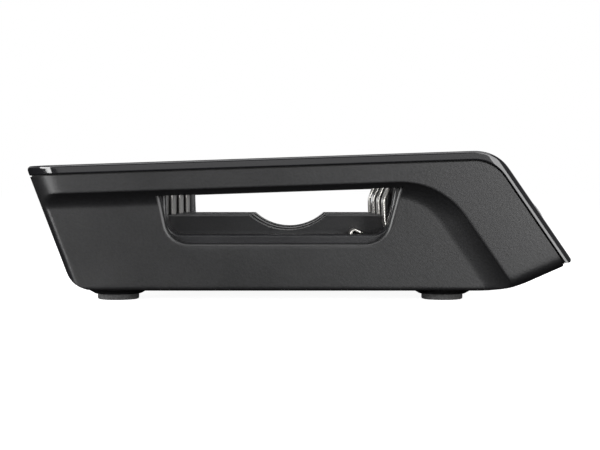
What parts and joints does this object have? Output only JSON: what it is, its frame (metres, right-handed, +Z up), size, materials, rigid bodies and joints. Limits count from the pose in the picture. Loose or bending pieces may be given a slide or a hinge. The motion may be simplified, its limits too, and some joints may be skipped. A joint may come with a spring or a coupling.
{
  "type": "desktop battery charger",
  "caption": "Low wedge-shaped desktop charger with open bays for small round cells, side windows, and a sloping front panel with a display window and two push buttons.",
  "frame": {"origin": "on the surface that the feet stand on, in the middle of the footprint", "axes": "+X to the user and the sloping display panel, +Y to the left of someone looking along +X, +Z up"},
  "size_m": [0.1144, 0.092, 0.0317],
  "materials": {
    "casing": "fine moulded grain, matt black",
    "bay_plastic": "smooth matt black",
    "gloss_cover": "polished black",
    "button": "satin black",
    "display_lens": "smoked clear plastic",
    "lcd": "grey-green liquid-crystal cell",
    "white_plastic": "moulded white",
    "circuit_board": "green solder mask",
    "flat_lead": "flat white lead",
    "contact_metal": "nickel-plated spring strip",
    "jack": "moulded black",
    "switch_metal": "pressed steel shell",
    "rubber": "matt black rubber",
    "screw_steel": "zinc-plated",
    "copper_coil": "enamelled copper wire",
    "capacitor_sleeve": "dark blue sleeve",
    "chip": "moulded epoxy"
  },
  "bodies": {
    "charger": {"main_housing": "casing", "base_cover": "casing", "bay_tray": "bay_plastic", "top_cover": "gloss_cover", "display_window": "display_lens", "lcd_panel": "lcd", "light_guide": "white_plastic", "display_connector": "white_plastic", "board_connector": "white_plastic", "display_board": "circuit_board", "main_board": "circuit_board", "ribbon_cable": "flat_lead", "positive_contact_1": "contact_metal", "positive_contact_2": "contact_metal", "positive_contact_3": "contact_metal", "positive_contact_4": "contact_metal", "jack_pin": "contact_metal", "dc_jack": "jack", "select_switch": "switch_metal", "mode_switch": "switch_metal", "foot_1": "rubber", "foot_2": "rubber", "foot_3": "rubber", "foot_4": "rubber", "case_screw_1": "screw_steel", "case_screw_2": "screw_steel", "case_screw_3": "screw_steel", "case_screw_4": "screw_steel", "inductor": "copper_coil", "input_capacitor": "capacitor_sleeve", "output_capacitor": "capacitor_sleeve", "power_transistor_1": "chip", "power_transistor_2": "chip", "controller_chip": "chip"},
    "select_key": {"select_button": "button", "select_plunger": "rubber"},
    "mode_key": {"mode_button": "button", "mode_plunger": "rubber"},
    "aa_leaf_1": {"aa_contact_1": "contact_metal"},
    "aa_leaf_2": {"aa_contact_2": "contact_metal"},
    "aa_leaf_3": {"aa_contact_3": "contact_metal"},
    "aa_leaf_4": {"aa_contact_4": "contact_metal"},
    "aaa_leaf_1": {"aaa_contact_1": "contact_metal"},
    "aaa_leaf_2": {"aaa_contact_2": "contact_metal"},
    "aaa_leaf_3": {"aaa_contact_3": "contact_metal"},
    "aaa_leaf_4": {"aaa_contact_4": "contact_metal"}
  },
  "joints": [
    {"name": "select_press", "type": "slide", "parent": "charger", "child": "select_key", "axis": [-0.8231, 0, -0.5678], "range_m": [0, 0.0005], "stiffness_N_per_m": 600},
    {"name": "mode_press", "type": "slide", "parent": "charger", "child": "mode_key", "axis": [-0.8231, 0, -0.5678], "range_m": [0, 0.0005], "stiffness_N_per_m": 600},
    {"name": "aa_flex_1", "type": "hinge", "parent": "charger", "child": "aa_leaf_1", "pos_m": [0.0212, -0.03, 0.0072], "axis": [0, 1, 0], "range_deg": [0, 10], "stiffness_Nm_per_rad": 0.18},
    {"name": "aa_flex_2", "type": "hinge", "parent": "charger", "child": "aa_leaf_2", "pos_m": [0.0212, -0.01, 0.0072], "axis": [0, 1, 0], "range_deg": [0, 10], "stiffness_Nm_per_rad": 0.18},
    {"name": "aa_flex_3", "type": "hinge", "parent": "charger", "child": "aa_leaf_3", "pos_m": [0.0212, 0.01, 0.0072], "axis": [0, 1, 0], "range_deg": [0, 10], "stiffness_Nm_per_rad": 0.18},
    {"name": "aa_flex_4", "type": "hinge", "parent": "charger", "child": "aa_leaf_4", "pos_m": [0.0212, 0.03, 0.0072], "axis": [0, 1, 0], "range_deg": [0, 10], "stiffness_Nm_per_rad": 0.18},
    {"name": "aaa_flex_1", "type": "hinge", "parent": "charger", "child": "aaa_leaf_1", "pos_m": [0.0154, -0.03, 0.0072], "axis": [0, 1, 0], "range_deg": [0, 27], "stiffness_Nm_per_rad": 0.05},
    {"name": "aaa_flex_2", "type": "hinge", "parent": "charger", "child": "aaa_leaf_2", "pos_m": [0.0154, -0.01, 0.0072], "axis": [0, 1, 0], "range_deg": [0, 27], "stiffness_Nm_per_rad": 0.05},
    {"name": "aaa_flex_3", "type": "hinge", "parent": "charger", "child": "aaa_leaf_3", "pos_m": [0.0154, 0.01, 0.0072], "axis": [0, 1, 0], "range_deg": [0, 27], "stiffness_Nm_per_rad": 0.05},
    {"name": "aaa_flex_4", "type": "hinge", "parent": "charger", "child": "aaa_leaf_4", "pos_m": [0.0154, 0.03, 0.0072], "axis": [0, 1, 0], "range_deg": [0, 27], "stiffness_Nm_per_rad": 0.05}
  ]
}
